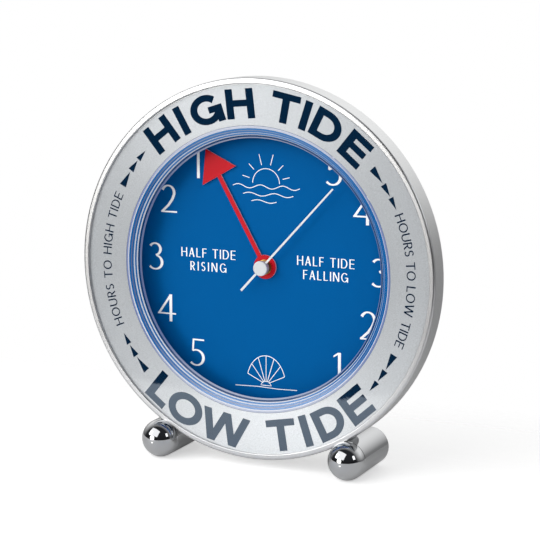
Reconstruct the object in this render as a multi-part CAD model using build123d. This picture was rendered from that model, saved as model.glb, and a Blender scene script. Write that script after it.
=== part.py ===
from build123d import *
import math
import os

# Tide clock on two rod feet.
# Frame: X right, Y from the front to the back, Z up, origin on the floor under the middle of the box.
# The case, dial and movement are drawn in a dial frame (x right, y up, z towards the viewer),
# with depths counted backwards from the front of the lip, and are stood up at the end.

# Clearances
fit_gap = 0.15
running_gap = 0.05
press_gap = 0.02
seat_gap = 0.1
overrun = 1.0

# Turns
full_turn = 360.0
half_turn = 180.0
quarter_turn = 90.0
round_steps = 5

# Case ring: turned aluminium with a narrow rounded lip
case_radius = 83.3
case_wall = 1.4
case_depth = 10.7
lip_width = 1.3
lip_depth = 1.2
lip_round = 1.0
lip_inner_round = 0.4
case_inner = case_radius - case_wall
lip_inner = case_inner - lip_width

# Face ring: the dished silver plate that carries the large words
face_width = 17.8
face_thickness = 1.0
face_dish = 1.2
face_seat_width = 1.5
face_inner = lip_inner - face_width
face_outer = case_inner - fit_gap
face_cone_outer = face_outer - face_seat_width
face_seat_back = lip_depth + face_thickness
face_front = lip_depth + face_dish
face_back = face_front + face_thickness

# Lens: clear crystal with a stepped rim, its window set back from the face ring
lens_rim_width = 5.6
lens_recess = 4.0
lens_window = 1.5
lens_flange_width = 3.7
lens_flange = 1.4
lens_rear_width = 2.2
lens_rim_radius = face_inner - fit_gap
lens_flange_radius = face_inner + lens_flange_width
lens_window_front = face_front + lens_recess
lens_window_back = lens_window_front + lens_window
lens_flange_back = face_back + lens_flange
# Steps of the rim, as shares of its width inwards and of its recess backwards
lens_step_shares = [
    (0, 0), (0.14, 0), (0.2, 0.1), (0.34, 0.14), (0.4, 0.3), (0.52, 0.34), (0.58, 0.5), (0.7, 0.56), (0.76, 0.72),
    (0.9, 0.8), (1, 1),
]

# Dial frame: moulded ring that holds the lens in front and the dial behind
frame_web = 2.0
frame_web_back = 8.5
well_step = 0.3
well_wall = 1.8
well_flange = 1.6
pocket_wall = 1.5
dial_rim_wall = 1.8
well_inner = face_inner - well_step
frame_web_front = frame_web_back - frame_web
pocket_radius = lens_flange_radius + fit_gap
pocket_outer = pocket_radius + pocket_wall

# Dial and the plate behind it
dial_depth = 15.0
dial_thickness = 0.6
dial_margin = 3.5
plate_thickness = 1.6
boss_radius = 4.5
dial_radius = well_inner + dial_margin
dial_back = dial_depth + dial_thickness
plate_back = dial_back + plate_thickness
dial_rim_inner = dial_radius + fit_gap
dial_rim_outer = dial_rim_inner + dial_rim_wall
dial_hole = boss_radius + fit_gap

# Rear cover: moulded drum with a window for the movement
drum_room = 2.05
drum_wall = 2.0
cover_rear_wall = 1.8
cover_round = 3.0
cover_back = 33.6
ledge_overlap = 1.5
ledge_thickness = 1.5
window_margin = 2.0
window_round = 4.0
drum_inner = dial_rim_outer + drum_room
drum_radius = drum_inner + drum_wall
cover_inside = cover_back - cover_rear_wall
ledge_inner = dial_radius - ledge_overlap

# Screws that hold the rear cover to the dial frame
cover_screws_count = 4
cover_screw_angle = 45.0
screw_radius = 1.2
screw_head_radius = 2.4
screw_head = 1.4
screw_slot_length = 2.6
screw_slot_width = 0.6
screw_slot_depth = 0.7
cover_screw_length = 5.2
frame_boss_radius = 3.0
frame_boss = 2.6
cover_screw_circle = (drum_radius + face_outer) / 2

# Feet: two polished rods with a half-round front end
foot_radius = 8.4
foot_length = 28.5
foot_half_spacing = 45.0
foot_bite = 1.13
foot_end_round = 1.0
foot_groove = 0.25
foot_groove_width = 0.4
foot_screw_depth = 5.2
foot_screw_radius = 1.5
foot_screw_reach = 7.0
foot_screw_head_radius = 2.6
foot_screw_head = 1.2
notch_radius = 3.2
foot_reach = case_radius + foot_radius - foot_bite
foot_drop = math.sqrt(foot_reach**2 - foot_half_spacing**2)
axis_height = foot_drop + foot_radius
foot_angle = math.degrees(math.atan2(foot_half_spacing, foot_drop))

# Movement case
movement_size = 57.0
movement_drop = 1.5
movement_wall = 1.2
movement_front_wall = 1.1
movement_back = 31.2
movement_round = 2.5
bay_room = 0.6
battery_radius_share = 0.1246
partition = 0.9
lid_thickness = 1.0
ear_radius = 3.6
ear_thickness = 1.5
ear_rise_share = 0.316
ear_reach = 3.2
ear_screw_length = 2.8
battery_radius = battery_radius_share * movement_size
bay_height = 2 * battery_radius + 2 * bay_room
ear_rise = ear_rise_share * movement_size
movement_half = movement_size / 2
movement_inside = movement_half - movement_wall
movement_floor = plate_back + movement_front_wall
bay_top = -movement_drop - movement_inside + bay_height
chamber_bottom = bay_top + partition
chamber_top = movement_inside - movement_drop
lid_back = movement_back + lid_thickness

# Arbors and pipes
second_arbor_radius = 0.6
cannon_radius = 1.2
pipe_radius = 2.2
arbor_radius = 0.6
setting_radius = 1.2
pivot_depth = 0.6
second_arbor_front = 9.0
cannon_front = 12.6
pipe_front = 12.4
pivot_back = movement_back + pivot_depth - seat_gap
cannon_bore = second_arbor_radius + running_gap
pipe_bore = cannon_radius + running_gap
boss_bore = pipe_radius + running_gap
arbor_hole = arbor_radius + running_gap
setting_hole = setting_radius + running_gap

# Wheels: numbers of teeth, modules and depths
wheel_thickness = 0.9
pinion_thickness = 1.3
layer_pitch = 1.5
floor_room = 0.6
bridge_room = 0.5
tooth_share = 0.42
addendum_share = 0.9
dedendum_share = 1.25
tip_share = 0.45
spoke_hole_share = 0.2
spoke_circle_share = 0.62
spoke_count = 5
motion_module_share = 0.007
going_module_share = 0.0061
drive_module_share = 0.0079
rotor_module_share = 0.0053
tide_teeth = 40
minute_pinion_teeth = 11
minute_teeth = 41
cannon_teeth = 12
setting_teeth = 16
second_pinion_teeth = 8
third_teeth = 64
third_pinion_teeth = 8
centre_teeth = 60
second_teeth = 48
mid_pinion_teeth = 8
mid_teeth = 40
rotor_teeth = 8
motion_module = motion_module_share * movement_size
going_module = going_module_share * movement_size
drive_module = drive_module_share * movement_size
rotor_module = rotor_module_share * movement_size
motion_distance = motion_module * (cannon_teeth + minute_teeth) / 2
tide_module = 2 * motion_distance / (tide_teeth + minute_pinion_teeth)
setting_distance = motion_module * (minute_teeth + setting_teeth) / 2
third_distance = going_module * (second_pinion_teeth + third_teeth) / 2
centre_module = 2 * third_distance / (third_pinion_teeth + centre_teeth)
mid_distance = drive_module * (second_teeth + mid_pinion_teeth) / 2
rotor_distance = rotor_module * (mid_teeth + rotor_teeth) / 2
tide_layer = movement_floor + floor_room
minute_layer = tide_layer + layer_pitch
bridge_front = minute_layer + layer_pitch
bridge_thickness = 0.8
bridge_back = bridge_front + bridge_thickness
centre_layer = bridge_back + bridge_room
third_layer = centre_layer + layer_pitch
second_layer = third_layer + layer_pitch
mid_layer = second_layer + layer_pitch

# Directions of the wheels from the middle, counted from +x towards +y
minute_angle = 150.0
setting_angle = 166.0
third_angle = 60.0
mid_angle = -20.0
rotor_angle = 10.0

# Tide hand
tide_angle = 29.5
tide_tip_gap = 4.5
tide_head = 13.2
tide_head_width = 18.6
tide_shaft_width = 2.0
tide_hub_radius = 5.3
tide_collar_radius = 3.3
tide_front = 13.7
tide_thickness = 0.6
tide_collar = 0.7
tide_tip = well_inner - tide_tip_gap

# Second hand
second_angle = -42.6
second_tip_gap = 13.0
second_tail = 14.3
second_tail_width = 1.0
second_tip_width = 0.7
second_strip = 0.35
cap_radius = 3.3
cap_front = 8.5
cap_depth = 1.2
cap_round = 0.3
sleeve_radius = 2.8
sleeve_back = 12.1
second_tip = well_inner - second_tip_gap

# Rotor, stator and coil, as shares of the movement's size where they lie in its plane
magnet_radius_share = 0.0526
stator_radius_share = 0.105
stator_arm_share = 0.042
coil_offset_share = 0.051
coil_rise_share = 0.158
coil_length_share = 0.263
coil_radius_share = 0.063
bobbin_radius_share = 0.0386
bobbin_flange_share = 0.072
magnet_length = 2.6
stator_gap = 0.5
stator_thickness = 1.0
stator_depth = 24.1
bobbin_flange = 0.8
post_radius = 1.1
post_spread = 45.0
coil_room = 0.6
magnet_radius = magnet_radius_share * movement_size
stator_radius = stator_radius_share * movement_size
stator_arm = stator_arm_share * movement_size
coil_offset = coil_offset_share * movement_size
coil_rise = coil_rise_share * movement_size
coil_length = coil_length_share * movement_size
coil_radius = coil_radius_share * movement_size
bobbin_radius = bobbin_radius_share * movement_size
bobbin_flange_radius = bobbin_flange_share * movement_size

# Circuit board and its crystal
board_width_share = 0.28
board_height_share = 0.228
crystal_length_share = 0.105
board_thickness = 1.0
board_depth = 27.4
board_inset = 1.2
board_post_inset = 2.2
crystal_radius = 1.0
board_width = board_width_share * movement_size
board_height = board_height_share * movement_size
crystal_length = crystal_length_share * movement_size

# Battery and contacts
battery_nub_share = 0.38
contact_width_share = 1.26
contact_pad_share = 0.34
spring_share = 0.56
battery_end_room = 3.05
battery_nub = 1.5
battery_clearance = 0.1
contact_thickness = 0.4
battery_length = 2 * movement_inside - 2 * battery_end_room
battery_nub_radius = battery_nub_share * battery_radius
contact_width = contact_width_share * battery_radius
contact_pad_radius = contact_pad_share * battery_radius
spring_radius = spring_share * battery_radius
battery_rise = bay_top - bay_height / 2
battery_depth = movement_floor + battery_clearance + battery_radius

# Setting knob
knob_radius = 5.6
knob_room = 0.4
knob_front = lid_back + knob_room
knob_length = 3.4
knob_flutes = 18
knob_flute_radius = 0.5

# The origin is under the middle of the whole depth, from the front of the feet to the knob
knob_back = knob_front + knob_length
front_shift = (foot_radius - knob_back) / 2
stand = Location((0, front_shift, axis_height), (90, 0, 0))


def polar(distance, angle):
    return (distance * math.cos(math.radians(angle)), distance * math.sin(math.radians(angle)))


def plate(sketch, front, back, at=(0, 0)):
    # Flat piece from one depth to another
    return extrude(Pos(at[0], at[1], -back) * sketch, amount=back - front)


def disc(radius, front, back, at=(0, 0), hole=0):
    sketch = Circle(radius)
    if hole > 0:
        sketch -= Circle(hole)
    return plate(sketch, front, back, at)


def turned(outline):
    # Solid of revolution about the case axis from points of radius and depth
    points = [(radius, 0, -depth) for radius, depth in outline]
    return revolve(make_face(Polyline(*points, close=True)), axis=Axis.Z)


def quarter_round(across, depth, radius, start):
    # Outline points of a quarter round about its centre, in short straight steps
    points = []
    for step in range(round_steps + 1):
        outward, backward = polar(radius, start + step * quarter_turn / round_steps)
        points.append((across + outward, depth + backward))
    return points


def gear_sketch(teeth, module, start):
    # Clock teeth: radial flanks below the pitch line and tapered tips, one tooth on the start direction
    pitch_radius = teeth * module / 2
    root = pitch_radius - dedendum_share * module
    tip = pitch_radius + addendum_share * module
    step = full_turn / teeth
    half = tooth_share * step / 2
    flank = [(root, -half), (pitch_radius, -half), (tip, -half * tip_share)]
    tooth = flank + [(radius, -angle) for radius, angle in reversed(flank)]
    points = []
    for number in range(teeth):
        middle = start + number * step
        points += [polar(radius, middle + angle) for radius, angle in tooth]
    return make_face(Polyline(*points, close=True))


def wheel(teeth, module, front, at=(0, 0), hole=0, start=0, thickness=wheel_thickness, spokes=False):
    body = plate(gear_sketch(teeth, module, start), front, front + thickness, at)
    pitch_radius = teeth * module / 2
    if spokes:
        hole_radius = spoke_hole_share * pitch_radius
        for number in range(spoke_count):
            spot = polar(spoke_circle_share * pitch_radius, start + number * full_turn / spoke_count)
            place = (at[0] + spot[0], at[1] + spot[1])
            body -= disc(hole_radius, front - overrun, front + thickness + overrun, place)
    if hole > 0:
        body -= disc(hole, front - overrun, front + thickness + overrun, at)
    return body


def mesh_start(teeth, start, partner_teeth, direction):
    # Start direction of a partner whose gap meets a tooth on the line of centres
    along = (direction - start) * teeth / full_turn
    return direction + half_turn - (1 / 2 - along) * full_turn / partner_teeth


def screws(spots, length, head_back):
    # Equal pan-head screws, driven from behind
    made = []
    for spot in spots:
        shank = disc(screw_radius - press_gap, head_back - screw_head - length, head_back - screw_head, spot)
        head = disc(screw_head_radius, head_back - screw_head, head_back, spot)
        for slot in (Rectangle(screw_slot_length, screw_slot_width), Rectangle(screw_slot_width, screw_slot_length)):
            head -= plate(slot, head_back - screw_slot_depth, head_back + overrun, spot)
        made.append(shank + head)
    return Compound(children=made)


nodes = {}

# Places of the wheels
minute_at = polar(motion_distance, minute_angle)
setting_step = polar(setting_distance, setting_angle)
setting_at = (minute_at[0] + setting_step[0], minute_at[1] + setting_step[1])
third_at = polar(third_distance, third_angle)
mid_at = polar(mid_distance, mid_angle)
rotor_step = polar(rotor_distance, rotor_angle)
rotor_at = (mid_at[0] + rotor_step[0], mid_at[1] + rotor_step[1])
coil_at = rotor_at[0] + coil_offset

# Case ring with a hole in its wall for each foot screw
lip_edge = quarter_round(lip_inner + lip_inner_round, lip_inner_round, lip_inner_round, half_turn)
lip_edge += quarter_round(case_radius - lip_round, lip_round, lip_round, half_turn + quarter_turn)
case = turned(lip_edge + [
    (case_radius, case_depth), (case_inner, case_depth), (case_inner, lip_depth), (lip_inner, lip_depth),
])


def foot_drill(radius, inner, outer):
    # Radial cylinders on the lines from the case axis to the two feet
    drills = []
    for side in (-1, 1):
        turn = Pos(0, 0, -foot_screw_depth) * Rot(0, 0, side * foot_angle) * Rot(90, 0, 0)
        body = extrude(Pos(0, 0, inner) * Circle(radius), amount=outer - inner)
        drills.append(turn * body)
    return drills


for drill in foot_drill(foot_screw_radius + press_gap, case_inner - overrun, case_radius + overrun):
    case -= drill
nodes["case_ring"] = case

# Face ring
nodes["face_ring"] = turned([
    (face_outer, lip_depth), (face_cone_outer, lip_depth), (face_inner, face_front),
    (face_inner, face_back), (face_cone_outer, face_seat_back), (face_outer, face_seat_back),
])

# Lens
lens_front = [
    (lens_rim_radius - inward * lens_rim_width, face_front + backward * lens_recess)
    for inward, backward in lens_step_shares
]
lens_window_radius = lens_rim_radius - lens_rim_width
nodes["lens"] = turned([(lens_flange_radius, face_back), (lens_rim_radius, face_back)] + lens_front + [
    (0, lens_window_front), (0, lens_window_back), (lens_window_radius, lens_window_back),
    (lens_window_radius + lens_rear_width, lens_flange_back), (lens_flange_radius, lens_flange_back),
])

# Dial frame with bosses for the cover screws and notches for the foot screws
cover_spots = [
    polar(cover_screw_circle, cover_screw_angle + number * full_turn / cover_screws_count)
    for number in range(cover_screws_count)
]
frame = turned([
    (face_outer, face_seat_back), (face_outer, frame_web_back), (well_inner + well_wall, frame_web_back),
    (well_inner + well_wall, dial_depth - well_flange), (dial_rim_outer, dial_depth - well_flange),
    (dial_rim_outer, plate_back), (dial_rim_inner, plate_back), (dial_rim_inner, dial_depth),
    (well_inner, dial_depth), (well_inner, lens_flange_back), (pocket_radius, lens_flange_back),
    (pocket_radius, face_back), (pocket_outer, face_back), (pocket_outer, frame_web_front),
    (face_cone_outer, frame_web_front), (face_cone_outer, face_seat_back),
])
for spot in cover_spots:
    frame += disc(frame_boss_radius, frame_web_front - frame_boss, frame_web_front, spot)
    frame -= disc(screw_radius, frame_web_front - frame_boss - overrun, frame_web_back + overrun, spot)
for drill in foot_drill(notch_radius, face_cone_outer - overrun, face_outer + overrun):
    frame -= drill
nodes["dial_frame"] = frame

# Dial and backing plate
nodes["dial"] = disc(dial_radius, dial_depth, dial_back, hole=dial_hole)
ear_spots = [
    (side * (movement_half + ear_reach), rise * ear_rise - movement_drop) for side in (-1, 1) for rise in (-1, 1)
]
backing = disc(dial_radius, dial_back, plate_back, hole=dial_hole)
for spot in ear_spots:
    backing -= disc(screw_radius, dial_back - overrun, plate_back + overrun, spot)
nodes["backing_plate"] = backing

# Rear cover with its window and screw holes
cover_edge = quarter_round(drum_radius - cover_round, cover_back - cover_round, cover_round, 0)
cover = turned([(face_outer, frame_web_back), (face_outer, case_depth), (drum_radius, case_depth)] + cover_edge + [
    (0, cover_back), (0, cover_inside), (drum_inner, cover_inside), (drum_inner, plate_back + ledge_thickness),
    (ledge_inner, plate_back + ledge_thickness), (ledge_inner, plate_back), (drum_inner, plate_back),
    (drum_inner, frame_web_back),
])
window_size = movement_size + 2 * window_margin
window = RectangleRounded(window_size, window_size, window_round)
cover -= plate(window, cover_inside - overrun, cover_back + overrun, (0, -movement_drop))
for spot in cover_spots:
    cover -= disc(screw_radius, frame_web_back - overrun, case_depth + overrun, spot)
nodes["rear_cover"] = cover
nodes["cover_screws"] = screws(cover_spots, cover_screw_length, case_depth + screw_head)

# Feet, each with a saddle under the case ring and a blind hole for its screw
foot_end = quarter_round(foot_radius - foot_end_round, foot_length - foot_end_round, foot_end_round, 0)
foot = turned([
    (0, 0), (foot_radius, 0), (foot_radius - foot_groove, foot_groove_width / 2),
    (foot_radius, foot_groove_width), *foot_end, (0, foot_length),
])
foot += Sphere(foot_radius, 0, align=(Align.CENTER, Align.CENTER, Align.MIN))
saddle = disc(case_radius + seat_gap, -seat_gap, case_depth + seat_gap)
for side, name in ((-1, "foot_left"), (1, "foot_right")):
    body = Pos(side * foot_half_spacing, -foot_drop, 0) * foot - saddle
    for drill in foot_drill(foot_screw_radius, case_inner, case_radius + foot_screw_reach + seat_gap):
        body -= drill
    nodes[name] = body

head_seat = case_inner - seat_gap
shanks = foot_drill(foot_screw_radius - press_gap, head_seat, case_radius + foot_screw_reach)
heads = foot_drill(foot_screw_head_radius, head_seat - foot_screw_head, head_seat)
nodes["foot_screws"] = Compound(children=[shank + head for shank, head in zip(shanks, heads)])

# Movement case: gear chamber above, battery bay below, boss through the dial and four ears
body = plate(RectangleRounded(movement_size, movement_size, movement_round), plate_back, movement_back, (0, -movement_drop))
inside_width = 2 * movement_inside
chamber_height = chamber_top - chamber_bottom
chamber_at = (0, (chamber_top + chamber_bottom) / 2)
body -= plate(Rectangle(inside_width, chamber_height), movement_floor, movement_back + overrun, chamber_at)
body -= plate(Rectangle(inside_width, bay_height), movement_floor, movement_back + overrun, (0, battery_rise))
body += disc(boss_radius, dial_depth, plate_back)
body -= disc(boss_bore, dial_depth - overrun, movement_floor + overrun)
for spot in ear_spots:
    inner_edge = math.copysign(movement_half, spot[0])
    web = Rectangle(abs(spot[0] - inner_edge), 2 * ear_radius)
    body += disc(ear_radius, plate_back, plate_back + ear_thickness, spot)
    body += plate(web, plate_back, plate_back + ear_thickness, ((spot[0] + inner_edge) / 2, spot[1]))
    body -= disc(screw_radius, plate_back - overrun, plate_back + ear_thickness + overrun, spot)
for spot, hole in ((minute_at, arbor_hole), (setting_at, arbor_hole)):
    body -= disc(hole, movement_floor - pivot_depth, movement_floor + overrun, spot)
nodes["movement_case"] = body
nodes["movement_screws"] = screws(ear_spots, ear_screw_length, plate_back + ear_thickness + screw_head)

# Movement lid over the gear chamber
lid_bottom = chamber_bottom - partition
lid_height = movement_half - movement_drop - lid_bottom
lid_at = (0, lid_bottom + lid_height / 2)
lid = plate(RectangleRounded(movement_size, lid_height, partition), movement_back, lid_back, lid_at)
for spot in ((0, 0), third_at, mid_at, rotor_at):
    lid -= disc(arbor_hole, movement_back - overrun, movement_back + pivot_depth, spot)
lid -= disc(setting_hole, movement_back - overrun, lid_back + overrun, setting_at)
nodes["movement_lid"] = lid

# Train bridge with holes for the arbors, posts for the stator and room for the coil
bridge_width = inside_width - 2 * fit_gap
bridge = plate(Rectangle(bridge_width, chamber_height - 2 * fit_gap), bridge_front, bridge_back, chamber_at)
coil_low = rotor_at[1] + coil_rise - bobbin_flange - coil_room
coil_room_height = coil_length + 2 * bobbin_flange + 2 * coil_room
coil_room_width = 2 * bobbin_flange_radius + 2 * coil_room
coil_room_at = (coil_at, coil_low + coil_room_height / 2)
bridge -= plate(Rectangle(coil_room_width, coil_room_height), bridge_front - overrun, bridge_back + overrun, coil_room_at)
for spot, hole in (((0, 0), pipe_bore), (setting_at, setting_hole)):
    bridge -= disc(hole, bridge_front - overrun, bridge_back + overrun, spot)
for spot in (minute_at, third_at, mid_at, rotor_at):
    bridge -= disc(arbor_hole, bridge_front - overrun, bridge_back + overrun, spot)
post_circle = (magnet_radius + stator_gap + stator_radius) / 2
for turn in (-post_spread, post_spread - half_turn):
    step = polar(post_circle, turn)
    bridge += disc(post_radius, bridge_back, stator_depth, (rotor_at[0] + step[0], rotor_at[1] + step[1]))
board_left = -movement_inside + board_inset
board_top = chamber_top - board_inset
for run in (board_post_inset, board_width - board_post_inset):
    bridge += disc(post_radius, bridge_back, board_depth, (board_left + run, board_top - board_post_inset))
nodes["train_bridge"] = bridge

# Tide wheel on its pipe
pipe = disc(pipe_radius, pipe_front, tide_layer + wheel_thickness, hole=pipe_bore)
tide_wheel = wheel(tide_teeth, tide_module, tide_layer, hole=pipe_bore, spokes=True)
nodes["tide_wheel"] = tide_wheel + pipe

# Minute wheel with the pinion that drives the tide wheel
minute_pinion_start = mesh_start(tide_teeth, 0, minute_pinion_teeth, minute_angle)
minute_start = mesh_start(cannon_teeth, 0, minute_teeth, minute_angle)
minute = wheel(minute_teeth, motion_module, minute_layer, minute_at, start=minute_start, spokes=True)
pinion_depth = minute_layer - tide_layer
minute += wheel(minute_pinion_teeth, tide_module, tide_layer, minute_at, start=minute_pinion_start, thickness=pinion_depth)
minute += disc(arbor_radius, movement_floor - pivot_depth + seat_gap, bridge_back, minute_at)
nodes["minute_wheel"] = minute

# Cannon pinion on a tube through the bridge
cannon_back = centre_layer + wheel_thickness
cannon = disc(cannon_radius, cannon_front, cannon_back, hole=cannon_bore)
cannon_gear = wheel(cannon_teeth, motion_module, minute_layer, hole=cannon_bore)
nodes["cannon_pinion"] = cannon + cannon_gear

# Setting arbor in mesh with the minute wheel, and its knob
setting_start = mesh_start(minute_teeth, minute_start, setting_teeth, setting_angle)
setting = wheel(setting_teeth, motion_module, minute_layer, setting_at, start=setting_start)
setting += disc(setting_radius, movement_floor + seat_gap, knob_front + knob_length / 2, setting_at)
setting += disc(arbor_radius, movement_floor - pivot_depth + seat_gap, movement_floor + seat_gap, setting_at)
nodes["setting_arbor"] = setting
knob_sketch = Circle(knob_radius)
for number in range(knob_flutes):
    knob_sketch -= Pos(*polar(knob_radius, number * full_turn / knob_flutes)) * Circle(knob_flute_radius)
knob = plate(knob_sketch, knob_front, knob_back, setting_at)
knob -= disc(setting_radius + press_gap, knob_front - overrun, knob_front + knob_length / 2 + press_gap, setting_at)
nodes["set_knob"] = knob

# Going train: second wheel with its arbor and pinion, third wheel, centre wheel
second_pinion = wheel(second_pinion_teeth, going_module, third_layer, thickness=second_layer - third_layer)
second = wheel(second_teeth, drive_module, second_layer, spokes=True)
second += second_pinion
second += disc(second_arbor_radius, second_arbor_front, pivot_back)
nodes["second_wheel"] = second
third_start = mesh_start(second_pinion_teeth, 0, third_teeth, third_angle)
third = wheel(third_teeth, going_module, third_layer, third_at, start=third_start, spokes=True)
third += wheel(third_pinion_teeth, centre_module, centre_layer, third_at, thickness=third_layer - centre_layer)
third += disc(arbor_radius, bridge_front, pivot_back, third_at)
nodes["third_wheel"] = third
centre_start = mesh_start(third_pinion_teeth, 0, centre_teeth, third_angle + half_turn)
nodes["centre_wheel"] = wheel(centre_teeth, centre_module, centre_layer, hole=pipe_bore, start=centre_start, spokes=True)

# Drive: intermediate wheel and rotor
mid_pinion_start = mesh_start(second_teeth, 0, mid_pinion_teeth, mid_angle)
mid = wheel(mid_teeth, rotor_module, mid_layer, mid_at, spokes=True)
mid += wheel(mid_pinion_teeth, drive_module, second_layer, mid_at, start=mid_pinion_start, thickness=mid_layer - second_layer)
mid += disc(arbor_radius, bridge_front, pivot_back, mid_at)
nodes["intermediate_wheel"] = mid
rotor_start = mesh_start(mid_teeth, 0, rotor_teeth, rotor_angle)
rotor = wheel(rotor_teeth, rotor_module, mid_layer, rotor_at, start=rotor_start, thickness=pinion_thickness)
magnet_front = stator_depth + stator_thickness / 2 - magnet_length / 2
rotor += disc(magnet_radius, magnet_front, magnet_front + magnet_length, rotor_at)
rotor += disc(arbor_radius, bridge_front, pivot_back, rotor_at)
nodes["rotor"] = rotor

# Stator with its arm through the coil
coil_low_end = rotor_at[1] + coil_rise
coil_top_end = coil_low_end + coil_length
arm_top = coil_top_end + bobbin_flange + coil_room
arm_height = arm_top - rotor_at[1]
stator = disc(stator_radius, stator_depth, stator_depth + stator_thickness, rotor_at)
arm_at = (coil_at, rotor_at[1] + arm_height / 2)
stator += plate(Rectangle(stator_arm, arm_height), stator_depth, stator_depth + stator_thickness, arm_at)
stator -= disc(magnet_radius + stator_gap, stator_depth - overrun, stator_depth + stator_thickness + overrun, rotor_at)
nodes["stator"] = stator
coil_middle = stator_depth + stator_thickness / 2
coil_base = Location((coil_at, coil_low_end, -coil_middle), (-90, 0, 0))
arm_slot = Rectangle(stator_arm + 2 * seat_gap, stator_thickness + 2 * seat_gap)
bobbin = extrude(Circle(bobbin_radius), amount=coil_length)
bobbin += extrude(Circle(bobbin_flange_radius), amount=-bobbin_flange)
bobbin += extrude(Pos(0, 0, coil_length) * Circle(bobbin_flange_radius), amount=bobbin_flange)
bobbin -= extrude(Pos(0, 0, -bobbin_flange) * arm_slot, amount=coil_length + 2 * bobbin_flange)
nodes["coil_bobbin"] = coil_base * bobbin
winding = extrude(Circle(coil_radius) - Circle(bobbin_radius + press_gap), amount=coil_length - press_gap)
nodes["coil"] = coil_base * Pos(0, 0, press_gap / 2) * winding

# Circuit board and crystal can
board_at = (board_left + board_width / 2, board_top - board_height / 2)
board_back = board_depth + board_thickness
nodes["circuit_board"] = plate(Rectangle(board_width, board_height), board_depth, board_back, board_at)
crystal_place = Location((board_at[0] - crystal_length / 2, board_at[1], -board_back - crystal_radius), (0, 90, 0))
nodes["quartz_crystal"] = crystal_place * extrude(Circle(crystal_radius), amount=crystal_length)

# Battery and its contacts
battery_base = Location((-battery_length / 2, battery_rise, -battery_depth), (0, 90, 0))
cell = extrude(Circle(battery_radius), amount=battery_length)
cell += extrude(Pos(0, 0, battery_length) * Circle(battery_nub_radius), amount=battery_nub)
nodes["battery"] = battery_base * cell
contact_sheet = Rectangle(contact_width, contact_width)
nub_end = battery_length / 2 + battery_nub
right_base = Location((movement_inside, battery_rise, -battery_depth), (0, -90, 0))
positive = extrude(contact_sheet, amount=contact_thickness)
positive += extrude(Circle(contact_pad_radius), amount=movement_inside - nub_end)
nodes["contact_positive"] = right_base * positive
left_base = Location((-movement_inside, battery_rise, -battery_depth), (0, 90, 0))
spring_length = movement_inside - battery_length / 2
negative = extrude(contact_sheet, amount=contact_thickness)
negative += loft([Circle(spring_radius), Pos(0, 0, spring_length) * Circle(contact_pad_radius)])
nodes["contact_negative"] = left_base * negative

# Tide hand: hub, shaft and arrow head in one plane, with a collar on the pipe
head_base = tide_tip - tide_head
shaft = Pos(0, head_base / 2) * Rectangle(tide_shaft_width, head_base)
arrow = make_face(Polyline(
    (-tide_head_width / 2, head_base), (tide_head_width / 2, head_base), (0, tide_tip), close=True,
))
hand_sketch = Rot(0, 0, tide_angle) * (Circle(tide_hub_radius) + shaft + arrow)
hand = plate(hand_sketch, tide_front, tide_front + tide_thickness)
hand += disc(tide_collar_radius, tide_front - tide_collar, tide_front)
hand -= disc(pipe_radius + press_gap, tide_front - tide_collar - overrun, tide_front + tide_thickness + overrun)
nodes["tide_hand"] = hand

# Second hand: tapered strip, round cap and sleeve on the arbor
strip_front = cap_front + cap_depth
strip = make_face(Polyline(
    (-second_tail_width / 2, -second_tail), (second_tail_width / 2, -second_tail),
    (second_tip_width / 2, second_tip), (-second_tip_width / 2, second_tip), close=True,
))
cap_edge = quarter_round(cap_radius - cap_round, cap_front + cap_round, cap_round, half_turn + quarter_turn)
cap = turned([(0, cap_front)] + cap_edge + [(cap_radius, strip_front), (0, strip_front)])
second_hand = cap + plate(Rot(0, 0, second_angle) * strip, strip_front, strip_front + second_strip)
second_hand += disc(sleeve_radius, strip_front, sleeve_back)
second_hand -= disc(second_arbor_radius + press_gap, second_arbor_front - press_gap, sleeve_back + overrun)
nodes["second_hand"] = second_hand

os.makedirs("parts", exist_ok=True)
for name, body in nodes.items():
    export_step(stand * body, f"parts/{name}.step")
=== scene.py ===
import bmesh
import bpy
import math
from mathutils import Euler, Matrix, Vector
from mathutils.bvhtree import BVHTree


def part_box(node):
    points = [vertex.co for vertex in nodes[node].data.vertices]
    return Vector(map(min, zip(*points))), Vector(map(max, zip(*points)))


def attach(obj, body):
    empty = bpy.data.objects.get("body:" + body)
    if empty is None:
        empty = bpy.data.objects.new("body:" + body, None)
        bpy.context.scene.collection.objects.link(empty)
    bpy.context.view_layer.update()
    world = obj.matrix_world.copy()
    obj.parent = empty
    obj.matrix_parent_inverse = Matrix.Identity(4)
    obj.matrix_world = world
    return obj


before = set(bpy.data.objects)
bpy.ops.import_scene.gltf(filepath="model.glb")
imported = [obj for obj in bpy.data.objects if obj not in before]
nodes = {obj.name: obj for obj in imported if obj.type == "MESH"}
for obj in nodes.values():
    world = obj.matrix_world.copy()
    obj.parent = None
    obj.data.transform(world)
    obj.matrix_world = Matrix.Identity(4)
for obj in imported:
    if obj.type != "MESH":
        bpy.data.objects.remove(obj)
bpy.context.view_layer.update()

MM = 0.001
# Sockets of a Mix node that mixes colours
MIX_FIRST = 6
MIX_SECOND = 7
MIX_RESULT = 2
case_low, case_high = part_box("case_ring")
axis_z = (case_low.z + case_high.z) / 2
lip_y = case_low.y
dial_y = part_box("dial")[0].y


# Materials
coat_ior = 1.75
grain_detail = 3.0


def linear(r, g, b):
    # Linear colour from 8-bit display values
    out = []
    for value in (r, g, b):
        share = value / 255
        out.append(share / 12.92 if share <= 0.04045 else ((share + 0.055) / 1.055) ** 2.4)
    return (*out, 1.0)


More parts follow.
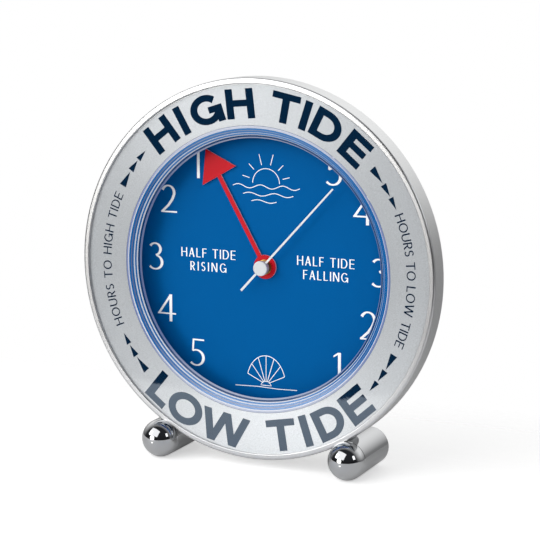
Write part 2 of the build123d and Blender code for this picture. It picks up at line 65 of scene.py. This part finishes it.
def material(name, color, metallic=0.0, rough=0.4, ior=1.5, coat=0.0, coat_rough=0.05, shine=0.5):
    mat = bpy.data.materials.new(name)
    mat.use_nodes = True
    shader = mat.node_tree.nodes["Principled BSDF"]
    shader.inputs["Base Color"].default_value = color
    shader.inputs["Metallic"].default_value = metallic
    shader.inputs["Roughness"].default_value = rough
    shader.inputs["IOR"].default_value = ior
    shader.inputs["Specular IOR Level"].default_value = shine
    shader.inputs["Coat Weight"].default_value = coat
    shader.inputs["Coat Roughness"].default_value = coat_rough
    shader.inputs["Coat IOR"].default_value = coat_ior
    return mat


def noise(mat, scale):
    # Noise in object coordinates, in metres
    tree = mat.node_tree
    place = tree.nodes.new("ShaderNodeTexCoord")
    texture = tree.nodes.new("ShaderNodeTexNoise")
    texture.inputs["Scale"].default_value = scale
    texture.inputs["Detail"].default_value = grain_detail
    tree.links.new(place.outputs["Object"], texture.inputs["Vector"])
    return texture.outputs["Fac"]


def vary_color(mat, fac, dark, light, low=0.3, high=0.7):
    tree = mat.node_tree
    ramp = tree.nodes.new("ShaderNodeValToRGB")
    ramp.color_ramp.elements[0].position = low
    ramp.color_ramp.elements[0].color = dark
    ramp.color_ramp.elements[1].position = high
    ramp.color_ramp.elements[1].color = light
    tree.links.new(fac, ramp.inputs["Fac"])
    tree.links.new(ramp.outputs["Color"], tree.nodes["Principled BSDF"].inputs["Base Color"])


def bump(mat, fac, strength, distance):
    tree = mat.node_tree
    node = tree.nodes.new("ShaderNodeBump")
    node.inputs["Strength"].default_value = strength
    node.inputs["Distance"].default_value = distance
    tree.links.new(fac, node.inputs["Height"])
    tree.links.new(node.outputs["Normal"], tree.nodes["Principled BSDF"].inputs["Normal"])


def grained(name, color, metallic, rough, scale, grain, strength=0.2, depth=0.00002, coat=0.0, shine=0.5):
    # Plain finish with a fine grain in colour and surface
    mat = material(name, color, metallic, rough, 1.5, coat, 0.04, shine)
    fac = noise(mat, scale)
    dark = [value * (1 - grain) for value in color[:3]] + [1.0]
    light = [min(1.0, value * (1 + grain)) for value in color[:3]] + [1.0]
    vary_color(mat, fac, dark, light)
    bump(mat, fac, strength, depth)
    return mat


def spun(mat, amount):
    # Turning marks round the axis, so that the shine spreads along the radius
    tree = mat.node_tree
    marks = tree.nodes.new("ShaderNodeTangent")
    marks.direction_type = "RADIAL"
    marks.axis = "Y"
    shader = tree.nodes["Principled BSDF"]
    shader.inputs["Anisotropic"].default_value = amount
    shader.inputs["Anisotropic Rotation"].default_value = 0.25
    tree.links.new(marks.outputs["Tangent"], shader.inputs["Tangent"])
    return mat


case_metal = grained("case_aluminium", linear(224, 225, 226), 1.0, 0.36, 2200, 0.05, 0.1)
lip_metal = grained("lip_aluminium", linear(206, 207, 209), 1.0, 0.3, 2200, 0.05, 0.1)
face_base = grained("face_silver", linear(196, 200, 204), 0.4, 0.42, 2600, 0.12, 0.12, coat=1.0, shine=0.1)
face_metal = spun(face_base, 0.88)
# Glossy ink, whose mirror image is a little blue
ink = material("navy_ink", linear(0, 32, 58), 0.0, 0.03, 2.3)
ink.node_tree.nodes["Principled BSDF"].inputs["Specular Tint"].default_value = (0.78, 0.9, 1.0, 1.0)
dial_blue = grained("dial_blue", linear(0, 85, 148), 0.0, 0.45, 1800, 0.03, 0.05, shine=0.02)
white_print = material("white_print", linear(250, 251, 252), 0.0, 0.5, shine=0.1)
hand_red = grained("hand_red", linear(190, 24, 36), 0.0, 0.35, 1500, 0.03, 0.05, shine=0.1)
hand_silver = material("hand_silver", linear(216, 219, 222), 0.3, 0.4)
cap_silver = material("cap_silver", linear(200, 204, 208), 0.3, 0.4)
chrome = material("chrome", linear(192, 193, 195), 1.0, 0.03)
black_plastic = grained("black_moulding", linear(46, 47, 50), 0.0, 0.5, 1500, 0.15, 0.5, 0.00004)
pale_plastic = grained("pale_moulding", linear(150, 168, 214), 0.0, 0.4, 1800, 0.03, 0.2)
movement_plastic = grained("movement_moulding", linear(62, 63, 66), 0.0, 0.42, 1800, 0.15, 0.4, 0.00003)
natural_plastic = material("natural_moulding", linear(236, 234, 224), 0.0, 0.4)
steel = grained("plate_steel", linear(190, 191, 192), 1.0, 0.35, 1200, 0.08)
zinc = grained("zinc_plate", linear(205, 205, 200), 1.0, 0.3, 1500, 0.06)
brass = grained("brass", linear(214, 178, 104), 1.0, 0.28, 1500, 0.06)
copper = material("copper_wire", linear(186, 104, 66), 1.0, 0.35)
magnet = material("magnet", linear(70, 70, 74), 1.0, 0.4)
board = material("board", linear(32, 92, 48), 0.0, 0.4)
cell_wrap = grained("cell_wrap", linear(70, 92, 120), 0.2, 0.3, 900, 0.08)
nickel = material("nickel", linear(214, 212, 206), 1.0, 0.2)


def clear(name):
    # Clear sheet that passes light straight through
    mat = bpy.data.materials.new(name)
    mat.use_nodes = True
    tree = mat.node_tree
    tree.nodes.remove(tree.nodes["Principled BSDF"])
    through = tree.nodes.new("ShaderNodeBsdfTransparent")
    tree.links.new(through.outputs["BSDF"], tree.nodes["Material Output"].inputs["Surface"])
    return mat


lens_window = clear("lens_window")
# Painted reflections: colours painted on the steps of the clear lens rim, in place of what the clear plastic
# reflects and the dial seen through it
rim_reflection_white = material("lens_painted_reflection_white", linear(230, 233, 240), 0.0, 0.15, 1.49)
rim_reflection_lavender = material("lens_painted_reflection_lavender", linear(114, 127, 168), 0.0, 0.15, 1.49)
rim_reflection_blue = material("lens_painted_reflection_blue", linear(12, 90, 152), 0.0, 0.15, 1.49)
rim_reflection_navy = material("lens_painted_reflection_navy", linear(0, 54, 102), 0.0, 0.15, 1.49)


# Height above or below the axis where the rings start and end their change, in metres
blend_start = 0.034
blend_end = 0.058


def blend_ends(mat, color):
    # Changes the painted reflection colour towards the top and bottom of the ring
    tree = mat.node_tree
    shader = tree.nodes["Principled BSDF"]
    place = tree.nodes.new("ShaderNodeTexCoord")
    parts = tree.nodes.new("ShaderNodeSeparateXYZ")
    above = tree.nodes.new("ShaderNodeMath")
    above.operation = "SUBTRACT"
    above.inputs[1].default_value = axis_z
    away = tree.nodes.new("ShaderNodeMath")
    away.operation = "ABSOLUTE"
    share = tree.nodes.new("ShaderNodeMapRange")
    share.inputs["From Min"].default_value = blend_start
    share.inputs["From Max"].default_value = blend_end
    mix = tree.nodes.new("ShaderNodeMix")
    mix.data_type = "RGBA"
    mix.inputs[MIX_FIRST].default_value = shader.inputs["Base Color"].default_value
    mix.inputs[MIX_SECOND].default_value = color
    tree.links.new(place.outputs["Object"], parts.inputs["Vector"])
    tree.links.new(parts.outputs["Z"], above.inputs[0])
    tree.links.new(above.outputs["Value"], away.inputs[0])
    tree.links.new(away.outputs["Value"], share.inputs["Value"])
    tree.links.new(share.outputs["Result"], mix.inputs["Factor"])
    tree.links.new(mix.outputs[MIX_RESULT], shader.inputs["Base Color"])


# The painted reflections turn paler and greyer towards the top and bottom of the rim
blend_ends(rim_reflection_lavender, linear(176, 182, 200))
blend_ends(rim_reflection_blue, linear(70, 120, 176))
hand_edge = material("hand_edge", linear(240, 188, 196), 0.0, 0.4)

paint = {
    "face_ring": face_metal, "dial": dial_blue, "backing_plate": steel, "dial_frame": pale_plastic,
    "rear_cover": black_plastic, "foot_left": chrome, "foot_right": chrome,
    "cover_screws": zinc, "foot_screws": zinc, "movement_screws": zinc, "movement_case": movement_plastic,
    "movement_lid": movement_plastic, "set_knob": movement_plastic, "train_bridge": natural_plastic,
    "coil_bobbin": natural_plastic, "tide_wheel": brass, "cannon_pinion": brass, "setting_arbor": brass,
    "minute_wheel": natural_plastic,
    "second_wheel": natural_plastic, "third_wheel": natural_plastic, "centre_wheel": natural_plastic,
    "intermediate_wheel": natural_plastic, "rotor": magnet, "stator": steel, "coil": copper,
    "circuit_board": board, "quartz_crystal": nickel, "battery": cell_wrap, "contact_positive": nickel,
    "contact_negative": nickel,
}
for name, mat in paint.items():
    nodes[name].data.materials.clear()
    nodes[name].data.materials.append(mat)


def by_face(name, mats, choose):
    # Materials face by face, chosen by normal, distance from the axis and depth behind the lip in mm
    mesh = nodes[name].data
    mesh.materials.clear()
    for mat in mats:
        mesh.materials.append(mat)
    for face in mesh.polygons:
        corners = [mesh.vertices[number].co for number in face.vertices]
        reach = [math.hypot(corner.x, corner.z - axis_z) / MM for corner in corners]
        depth = [(corner.y - lip_y) / MM for corner in corners]
        face.material_index = choose(face.normal, reach, depth)


# The lens is clear, and its stepped rim is painted with thin coloured rings: painted reflections of the
# clear steps and the blue dial painted as if seen through them. Ring ends are in shares of the rim from
# outside in
rim_inner = 57.2
rim_outer = 62.65
rim_edge = 62.66
rim_width = 5.6
facing_front = -0.1
ring_ends = [0.14, 0.2, 0.34, 0.4, 0.52, 0.58, 0.7, 0.76, 0.9, 1.01]
ring_order = [2, 1, 3, 2, 3, 1, 3, 1, 4, 2]


def lens_part(normal, reach, depth):
    middle = sum(reach) / len(reach)
    if normal.y > facing_front or max(reach) < rim_inner or middle > rim_edge:
        return 0
    share = (rim_outer - middle) / rim_width
    return next(kind for end, kind in zip(ring_ends, ring_order) if share < end)


# Bushing in the tide hand, cap of the second hand and depth of the lip, in mm, and the normal of a flat face
bushing_reach = 3.4
cap_reach = 3.6
lip_reach = 3
flat_face = 0.5


def tide_hand_part(normal, reach, depth):
    if max(reach) < bushing_reach:
        return 2
    return 0 if abs(normal.y) > flat_face else 1


def case_part(normal, reach, depth):
    return 1 if max(depth) < lip_reach else 0


def second_hand_part(normal, reach, depth):
    return 1 if max(reach) < cap_reach else 0


by_face("case_ring", [case_metal, lip_metal], case_part)
by_face("lens", [lens_window, rim_reflection_white, rim_reflection_lavender, rim_reflection_blue, rim_reflection_navy], lens_part)
by_face("tide_hand", [hand_red, hand_edge, brass], tide_hand_part)
by_face("second_hand", [hand_silver, cap_silver], second_hand_part)


# Lettering: strokes in units of the cap height, with heavier uprights than crossbars

def arc(cx, cy, rx, ry, start, end, steps=18):
    out = []
    for number in range(steps + 1):
        angle = math.radians(start + (end - start) * number / steps)
        out.append((cx + rx * math.cos(angle), cy + ry * math.sin(angle)))
    return out


widths = {
    "H": 0.84, "T": 0.78, "L": 0.6, "E": 0.68, "F": 0.6, "D": 0.86, "O": 0.98, "G": 0.95, "W": 1.3, "U": 0.8,
    "R": 0.68, "S": 0.58, "A": 0.8, "N": 0.82, " ": 0.34,
    "1": 0.28, "2": 0.64, "3": 0.62, "4": 0.74, "5": 0.62,
}
# Wider signs for the upper and the lower large words
broad = {"H": 1.02, "G": 1.2, "T": 1.02, "D": 1.06, "E": 0.91}
low_broad = {"T": 0.985, "D": 1.015, "E": 0.914, "L": 0.784, "O": 1.25, "W": 1.655}


def leg(top_x, top, low_x, low, wide):
    # Slanted stroke cut level at both ends
    return (
        (top_x - wide / 2, top), (top_x + wide / 2, top), (low_x + wide / 2, low), (low_x - wide / 2, low),
    )


def glyph(sign, up, across, sizes=widths):
    # Width, then strokes as lists of points along them and filled shapes as tuples of corners
    w = sizes.get(sign, up)
    slant = up * 1.15
    x0 = up / 2
    y0 = across / 2
    y1 = 1 - across / 2
    middle = 0.52
    if sign == "H":
        return w, [[(x0, 0), (x0, 1)], [(w - x0, 0), (w - x0, 1)], [(x0, middle), (w - x0, middle)]]
    if sign == "I":
        return w, [[(x0, 0), (x0, 1)]]
    if sign == "T":
        return w, [[(0, y1), (w, y1)], [(w / 2, 0), (w / 2, y1)]]
    if sign == "L":
        return w, [[(x0, 0), (x0, 1)], [(x0, y0), (w, y0)]]
    if sign == "E":
        bars = [[(x0, y0), (w, y0)], [(x0, middle), (w * 0.94, middle)], [(x0, y1), (w, y1)]]
        return w, [[(x0, 0), (x0, 1)]] + bars
    if sign == "F":
        return w, [[(x0, 0), (x0, 1)], [(x0, middle), (w * 0.92, middle)], [(x0, y1), (w, y1)]]
    if sign == "D":
        bend = w * 0.42
        bowl = arc(bend, 0.5, w - x0 - bend, 0.5 - y0, 90, -90)
        return w, [[(x0, 0), (x0, 1)], [(x0, y1)] + bowl + [(x0, y0)]]
    if sign == "O":
        return w, [arc(w / 2, 0.5, w / 2 - x0, 0.5 - y0, 0, 360, 36)]
    if sign == "G":
        ring = arc(w / 2, 0.5, w / 2 - x0, 0.5 - y0, 40, 335, 30)
        return w, [ring, [(w - x0, 0), (w - x0, 0.46)], [(w * 0.56, 0.46), (w, 0.46)]]
    if sign == "W":
        low = 0.27 * w
        tops = (x0, w / 2, w / 2, w - x0)
        lows = (low, low, w - low, w - low)
        return w, [leg(a, 1, b, 0, up) for a, b in zip(tops, lows)]
    if sign == "U":
        bend = 0.38
        bowl = arc(w / 2, bend, w / 2 - x0, bend - y0, 180, 360)
        return w, [[(x0, 1)] + bowl + [(w - x0, 1)]]
    if sign == "R":
        low = 0.47
        bowl = arc(w * 0.45, (y1 + low) / 2, w * 0.93 - x0 - w * 0.45, (y1 - low) / 2, 90, -90)
        tail = leg(w * 0.42, low, w - slant / 2, 0, slant)
        return w, [[(x0, 0), (x0, 1)], [(x0, y1)] + bowl + [(x0, low)], tail]
    if sign == "S":
        rise = (1 - across) / 4
        top = arc(w / 2, y1 - rise, w / 2 - x0, rise, 28, 270, 16)
        low = arc(w / 2, y0 + rise, w / 2 - x0, rise, 90, -152, 16)
        return w, [top + low[1:]]
    if sign == "A":
        thin = slant * 0.7
        sides = [leg(w / 2, 1, thin / 2, 0, thin), leg(w / 2, 1, w - slant / 2, 0, slant)]
        return w, sides + [[(w * 0.24, 0.32), (w * 0.76, 0.32)]]
    if sign == "N":
        thin = up * 0.75
        stems = [[(thin / 2, 0), (thin / 2, 1)], [(w - thin / 2, 0), (w - thin / 2, 1)]]
        return w, stems + [leg(slant / 2, 1, w - slant / 2, 0, slant)]
    if sign == "1":
        return w, [[(w - x0, 0), (w - x0, 1)], ((0, 0.82), (0, 0.88), (w - up, 1), (w - up, 0.92))]
    if sign == "2":
        top = arc(0.29, 0.72, 0.24, 0.28 - y0, 160, -20, 16)
        return w, [top + [(0.45, 0.48), (0.3, 0.27), (0.04, y0)], [(0, y0), (w, y0)]]
    if sign == "3":
        top = arc(0.27, 0.76, 0.22, 0.24 - y0, 150, -85, 16)
        low = arc(0.27, 0.28, 0.28, 0.28 - y0, 80, -142, 18)
        return w, [top, low]
    if sign == "4":
        return w, [leg(0.545, 1, 0.05, 0.29, 0.1), [(0.0, 0.29), (w, 0.29)], [(0.53, 0), (0.53, 1)]]
    if sign == "5":
        bowl = arc(0.26, 0.31, 0.29, 0.31 - y0, 118, -140, 18)
        return w, [[(0.12, y1), (0.58, y1)], leg(0.155, 1, 0.125, 0.55, 0.07), bowl]
    return w, []


def fill_in(points, most):
    # Points along a line, no further apart than most
    out = [points[0]]
    for a, b in zip(points, points[1:]):
        pieces = max(1, math.ceil(math.dist(a, b) / most))
        for number in range(1, pieces + 1):
            share = number / pieces
            out.append((a[0] + (b[0] - a[0]) * share, a[1] + (b[1] - a[1]) * share))
    return out


def ribbon(points, up, across):
    # Left and right edges of a stroke whose width depends on its direction
    closed = math.dist(points[0], points[-1]) < 1e-6
    count = len(points)
    left = []
    right = []
    for number, point in enumerate(points):
        before = points[number - 1] if number else (points[-2] if closed else points[0])
        after = points[number + 1] if number < count - 1 else (points[1] if closed else points[-1])
        dx = after[0] - before[0]
        dy = after[1] - before[1]
        size = math.hypot(dx, dy) or 1.0
        dx /= size
        dy /= size
        half = math.hypot(up * dy, across * dx) / 2
        left.append((point[0] - dy * half, point[1] + dx * half))
        right.append((point[0] + dy * half, point[1] - dx * half))
    return left, right


# Print stands clear of its surface, in layers so that no two strokes share a plane, in mm
print_lift = 0.03
layer_step = 0.004
layer_count = 6


class Print:
    # Flat print laid on a surface: collects outlines in layers, then makes one mesh piece
    def __init__(self, name, mat, place):
        self.name = name
        self.mat = mat
        self.place = place
        self.points = []
        self.faces = []
        self.layer = 0

    def add(self, corners, faces):
        first = len(self.points)
        lift = print_lift + layer_step * (self.layer % layer_count)
        self.layer += 1
        self.points += [(x, y, lift) for x, y in corners]
        self.faces += [tuple(first + number for number in face) for face in faces]

    def stroke(self, points, up, across, most=1.5, put=None):
        left, right = ribbon(fill_in(points, most), up, across)
        corners = [corner for pair in zip(left, right) for corner in pair]
        if put:
            corners = [put(x, y) for x, y in corners]
        self.add(corners, [(n, n + 1, n + 3, n + 2) for n in range(0, len(corners) - 2, 2)])

    def shape(self, corners):
        self.add(corners, [range(len(corners))])

    def sign(self, drawn, height, up, across, put):
        # One sign about its own middle, placed by put(x, y)
        w, strokes = drawn
        for stroke in strokes:
            points = [((x - w / 2) * height, y * height) for x, y in stroke]
            if isinstance(stroke, tuple):
                self.shape([put(x, y) for x, y in points])
            else:
                self.stroke(points, up * height, across * height, put=put)

    def words(self, text, height, up, across, width, put, sizes=widths):
        # Signs side by side from their shared middle, spaced to fill the width
        drawn = [glyph(sign, up, across, sizes) for sign in text]
        gap = (width / height - sum(w for w, _ in drawn)) / (len(text) - 1)
        run = -width / height / 2
        for w, strokes in drawn:
            middle = (run + w / 2) * height
            self.sign((w, strokes), height, up, across, lambda x, y: put(middle, x, y))
            run += w + gap

    def finish(self, body="clock"):
        mesh = bpy.data.meshes.new(self.name)
        mesh.from_pydata([self.place(*point) for point in self.points], [], self.faces)
        mesh.materials.append(self.mat)
        tool = bmesh.new()
        tool.from_mesh(mesh)
        for face in tool.faces:
            face.normal_update()
            if face.normal.y > 0:
                face.normal_flip()
        tool.to_mesh(mesh)
        tool.free()
        made = bpy.data.objects.new(self.name, mesh)
        bpy.context.scene.collection.objects.link(made)
        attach(made, body)


probe_start = 0.02
face_tree = BVHTree.FromObject(nodes["face_ring"], bpy.context.evaluated_depsgraph_get())


def on_face(x, y, lift):
    start = Vector((x * MM, lip_y - probe_start, axis_z + y * MM))
    hit = face_tree.ray_cast(start, Vector((0, 1, 0)))[0]
    return (hit.x, hit.y - lift * MM, hit.z)


def on_dial(x, y, lift):
    return (x * MM, dial_y - lift * MM, axis_z + y * MM)


def on_arc(base, angle, turn, x, y):
    # Place upright on an arc: turn +1 has tops outwards, -1 has tops inwards
    out = base + turn * y
    return (
        out * math.sin(angle) + turn * x * math.cos(angle),
        out * math.cos(angle) - turn * x * math.sin(angle),
    )


def round_arc(base, start, turn, reach):
    return lambda middle, x, y: on_arc(base, math.radians(start) + turn * middle / reach, turn, x, y)


# Large words, each sign at its own angle from the top or the bottom
big = Print("print_large_words", ink, on_face)
large_up = 0.268
large_across = 0.22
high_places = [-37.5, -28.15, -17.9, -4.9, 11.9, 19.7, 28.2, 40.5]
low_places = [-38.3, -27.4, -11.3, 10.7, 20.1, 29.7, 41.7]
for text, places, base, middle, turn, height, sizes in (
    ("HIGHTIDE", high_places, 65.6, 0, 1, 12.9, broad),
    ("LOWTIDE", low_places, 79.5, 180, -1, 13.9, low_broad),
):
    for sign, place in zip(text, places):
        angle = math.radians(middle + turn * place)
        drawn = glyph(sign, large_up, large_across, sizes)
        big.sign(drawn, height, large_up, large_across, lambda x, y: on_arc(base, angle, turn, x, y))
big.finish()

small = Print("print_small_words", ink, on_face)
small_height = 4.1
small_up = 0.15
small_across = 0.1
for text, spread, base, start, reach in (
    ("HOURS TO HIGH TIDE", 49.0, 69.9, -89.4, 71.9), ("HOURS TO LOW TIDE", 45.8, 70.2, 89.5, 72.2),
):
    width = math.radians(spread) * reach
    small.words(text, small_height, small_up, small_across, width, round_arc(base, start, 1, reach))
small.finish()


def from_top(reach, angle):
    return (reach * math.sin(angle), reach * math.cos(angle))


# Rows of three arrows: angle of each base from the row's start, its length in degrees and its half width
arrows = Print("print_arrows", ink, on_face)
arrow_reach = 72.0
arrow_sizes = [(0.0, 6.0, 1.65), (6.5, 4.5, 1.45), (11.5, 4.3, 1.25)]
for start in (-62.0, 49.2, 115.5, -132.8):
    for after, length, half in arrow_sizes:
        base = math.radians(start + after)
        tip = math.radians(start + after + length)
        sides = [from_top(arrow_reach + half, base), from_top(arrow_reach - half, base)]
        arrows.shape([sides[0], from_top(arrow_reach, tip), sides[1]])
arrows.finish()


def straight(cx, base):
    return lambda middle, x, y: (cx + middle + x, base + y)


dial_print = Print("print_dial_numbers", white_print, on_dial)
number_height = 12.4
number_up = 0.11
number_across = 0.055
number_places = [
    (-33.9, 43.4), (-47.6, 27.3), (-54.4, 0.9), (-49.2, -22.3), (-33.9, -41.6),
    (33.9, -41.6), (48.4, -22.3), (53.1, 0.9), (45.4, 27.3), (31.9, 43.4),
]
for sign, (cx, cy) in zip("1234512345", number_places):
    drawn = glyph(sign, number_up, number_across)
    low = cy - number_height / 2
    dial_print.sign(drawn, number_height, number_up, number_across, lambda x, y: (cx + x, low + y))
dial_print.finish()

dial_words = Print("print_dial_words", white_print, on_dial)
narrow_share = 0.84
narrow = {sign: narrow_share * w for sign, w in widths.items()}
word_place = 28.2
word_up = 0.13
word_across = 0.075
for side, second, width in ((-1, "RISING", 17.8), (1, "FALLING", 21.0)):
    for text, height, wide, base in (("HALF TIDE", 4.1, 26.8, 1.8), (second, 4.0, width, -4.2)):
        put = straight(side * word_place, base)
        dial_words.words(text, height, word_up, word_across, wide, put, narrow)
dial_words.finish()

# Line drawings, with the width of their lines and the spacing of points on their curves
drawing = Print("print_line_drawings", white_print, on_dial)
line = 0.3
fine = 0.5


def wave(start, end, base, swell, count):
    out = []
    steps = 12 * count
    for number in range(steps + 1):
        share = number / steps
        out.append((start + (end - start) * share, base + swell * math.sin(share * count * 2 * math.pi)))
    return out


def draw(points):
    drawing.stroke(points, line, line, fine)


def draw_plain(points):
    drawing.stroke(points, line, line)


# Sun over three waves
sun_y = 36.6
sun_radius = 6.4
ray_start = 8.2
ray_end = 11.6
long_ray_end = 13.0
draw(wave(-16.0, 16.0, 35.0, 0.8, 3))
draw(wave(-11.0, 13.0, 31.6, 0.7, 2))
draw(wave(-7.0, 5.0, 28.6, 0.6, 1))
draw(arc(0, sun_y, sun_radius, sun_radius, 0, 180, 30))
for turn in range(15, 180, 30):
    reach = (math.cos(math.radians(turn)), math.sin(math.radians(turn)))
    end = long_ray_end if turn in (75, 105) else ray_end
    draw_plain([(length * reach[0], sun_y + length * reach[1]) for length in (ray_start, end)])

# Shell on the sand
shell_y = -52.6
shell_wide = 9.4
shell_tall = 12.6
fan_start = 18
fan_end = 162
rib_step = 24
draw_plain([(-15.0, -54.6), (-4.0, -54.2), (6.0, -54.5), (15.0, -54.2)])
draw(arc(0, shell_y, shell_wide, shell_tall, fan_start, fan_end, 28))
for turn in range(fan_start, fan_end + 1, rib_step):
    spread = math.radians(turn)
    ends = ((1.4, 1.0), (shell_wide, shell_tall))
    draw_plain([(wide * math.cos(spread), shell_y + tall * math.sin(spread)) for wide, tall in ends])
draw_plain([(-2.6, -53.4), (-1.4, -51.6), (1.4, -51.6), (2.6, -53.4), (-2.6, -53.4)])
drawing.finish()


# Smooth faces on the curved pieces, with sharp edges kept
sharp_angle = math.radians(40)
for node in nodes.values():
    node.data.shade_smooth()
    node.data.set_sharp_from_angle(angle=sharp_angle)
    weighted = node.modifiers.new("weighted", "WEIGHTED_NORMAL")
    weighted.keep_sharp = True


# Stage: white floor with its front edge out of the picture
def plane(name, low, high, z):
    mesh = bpy.data.meshes.new(name)
    corners = [(low[0], low[1], z), (high[0], low[1], z), (high[0], high[1], z), (low[0], high[1], z)]
    mesh.from_pydata(corners, [], [(0, 1, 2, 3)])
    made = bpy.data.objects.new(name, mesh)
    bpy.context.scene.collection.objects.link(made)
    return made


floor_left_front = (-0.7, -0.222)
floor_right_back = (0.7, 0.3)
floor_level = -0.0002
floor = plane("floor", floor_left_front, floor_right_back, floor_level)
floor_white = material("floor_white", linear(246, 246, 246), 0.0, 0.6)
floor.data.materials.append(floor_white)


def fade_back(mat, near, far, glow):
    # White of its own for the camera, fading to clear with the distance behind the clock
    tree = mat.node_tree
    place = tree.nodes.new("ShaderNodeTexCoord")
    parts = tree.nodes.new("ShaderNodeSeparateXYZ")
    share = tree.nodes.new("ShaderNodeMapRange")
    share.inputs["From Min"].default_value = near
    share.inputs["From Max"].default_value = far
    clear_part = tree.nodes.new("ShaderNodeBsdfTransparent")
    seen = tree.nodes.new("ShaderNodeLightPath")
    level = tree.nodes.new("ShaderNodeMath")
    level.operation = "MULTIPLY"
    level.inputs[1].default_value = glow
    own = tree.nodes.new("ShaderNodeEmission")
    both = tree.nodes.new("ShaderNodeAddShader")
    tree.links.new(seen.outputs["Is Camera Ray"], level.inputs[0])
    tree.links.new(level.outputs["Value"], own.inputs["Strength"])
    tree.links.new(tree.nodes["Principled BSDF"].outputs["BSDF"], both.inputs[0])
    tree.links.new(own.outputs["Emission"], both.inputs[1])
    mix = tree.nodes.new("ShaderNodeMixShader")
    tree.links.new(place.outputs["Object"], parts.inputs["Vector"])
    tree.links.new(parts.outputs["Y"], share.inputs["Value"])
    tree.links.new(share.outputs["Result"], mix.inputs["Fac"])
    tree.links.new(both.outputs["Shader"], mix.inputs[1])
    tree.links.new(clear_part.outputs["BSDF"], mix.inputs[2])
    tree.links.new(mix.outputs["Shader"], tree.nodes["Material Output"].inputs["Surface"])


fade_start = 0.0
fade_end = 0.13
floor_glow = 0.45
fade_back(floor_white, fade_start, fade_end, floor_glow)

# World: white for the camera and soft fill for matt surfaces
# Mirrors see a dark room in front of the clock and a bright wall behind it, both dimmer below the horizon
world = bpy.data.worlds.new("studio")
bpy.context.scene.world = world
world.use_nodes = True
sky = world.node_tree
sky.nodes.clear()
path = sky.nodes.new("ShaderNodeLightPath")
way = sky.nodes.new("ShaderNodeTexCoord")
parts = sky.nodes.new("ShaderNodeSeparateXYZ")
sky.links.new(way.outputs["Generated"], parts.inputs["Vector"])


def ramp(source, low, low_color, high, high_color):
    node = sky.nodes.new("ShaderNodeMapRange")
    node.inputs["From Min"].default_value = low
    node.inputs["From Max"].default_value = high
    sky.links.new(source, node.inputs["Value"])
    mix = sky.nodes.new("ShaderNodeMix")
    mix.data_type = "RGBA"
    sky.links.new(node.outputs["Result"], mix.inputs["Factor"])
    for socket, color in ((mix.inputs[MIX_FIRST], low_color), (mix.inputs[MIX_SECOND], high_color)):
        if isinstance(color, tuple):
            socket.default_value = color
        else:
            sky.links.new(color, socket)
    return mix.outputs[MIX_RESULT]


def background(color, strength):
    node = sky.nodes.new("ShaderNodeBackground")
    node.inputs["Strength"].default_value = strength
    if isinstance(color, tuple):
        node.inputs["Color"].default_value = color
    else:
        sky.links.new(color, node.inputs["Color"])
    return node.outputs["Background"]


def pick(fac, first, second):
    node = sky.nodes.new("ShaderNodeMixShader")
    sky.links.new(fac, node.inputs["Fac"])
    sky.links.new(first, node.inputs[1])
    sky.links.new(second, node.inputs[2])
    return node.outputs["Shader"]


white = (1.0, 1.0, 1.0, 1.0)
room_above = (0.03, 0.032, 0.036, 1)
wall_above = (1.2, 1.2, 1.19, 1)
room_below = (0.02, 0.02, 0.022, 1)
wall_below = (0.28, 0.28, 0.28, 1)
room_edge = -0.2
wall_edge = 0.5
horizon = 0.0
upper_edge = 0.45
fill_level = 0.38
above = ramp(parts.outputs["Y"], room_edge, room_above, wall_edge, wall_above)
below = ramp(parts.outputs["Y"], room_edge, room_below, wall_edge, wall_below)
around = ramp(parts.outputs["Z"], horizon, below, upper_edge, above)
soft = background(white, fill_level)
shown = pick(path.outputs["Is Glossy Ray"], soft, background(around, 1.0))
shown = pick(path.outputs["Is Camera Ray"], shown, background(white, 1.0))
out = sky.nodes.new("ShaderNodeOutputWorld")
sky.links.new(shown, out.inputs["Surface"])


def lamp(name, place, aim, width, height, power):
    data = bpy.data.lights.new(name, "AREA")
    data.shape = "RECTANGLE"
    data.size = width
    data.size_y = height
    data.energy = power
    made = bpy.data.objects.new(name, data)
    bpy.context.scene.collection.objects.link(made)
    made.location = place
    made.rotation_euler = (Vector(aim) - Vector(place)).to_track_quat("-Z", "Y").to_euler()
    return made


# Lamps: place, aim, width, height and power
middle = (0, 0, axis_z)
lamp("softbox_top", (-0.32, -0.65, 0.6), (0, 0, 0.05), 1.0, 0.7, 3.6)
lamp("softbox_left", (-0.6, -0.5, 0.45), middle, 0.3, 0.35, 0.8)
lamp("softbox_right", (0.7, -0.3, 0.4), middle, 0.2, 0.3, 0.4)
front = lamp("front_fill", (0.5, -1.0, 0.3), middle, 0.5, 0.5, 2.5)
front.visible_glossy = False

# Broad key light from the front left, a little above
key = bpy.data.objects.new("key", bpy.data.lights.new("key", "SUN"))
bpy.context.scene.collection.objects.link(key)
key.data.energy = 0.88
key.data.color = (1.0, 0.98, 0.94)
key.data.angle = math.radians(26)
key.rotation_euler = Vector((0.467, 0.878, -0.12)).to_track_quat("-Z", "Y").to_euler()

# Camera fitted to the photograph
azimuth = math.radians(24.6)
elevation = math.radians(9.9)
distance = 758.3 * MM
look = Vector((8.75 * MM, lip_y, axis_z + 1.45 * MM))
camera = bpy.data.cameras.new("camera")
camera.sensor_width = 36
camera.lens = 118.25
view = bpy.data.objects.new("camera", camera)
bpy.context.scene.collection.objects.link(view)
view.location = look + distance * Vector((
    math.sin(azimuth) * math.cos(elevation), -math.cos(azimuth) * math.cos(elevation), math.sin(elevation),
))
view.rotation_euler = Euler((math.pi / 2 - elevation, 0, azimuth))
bpy.context.scene.camera = view
bpy.context.scene.view_settings.view_transform = "Standard"
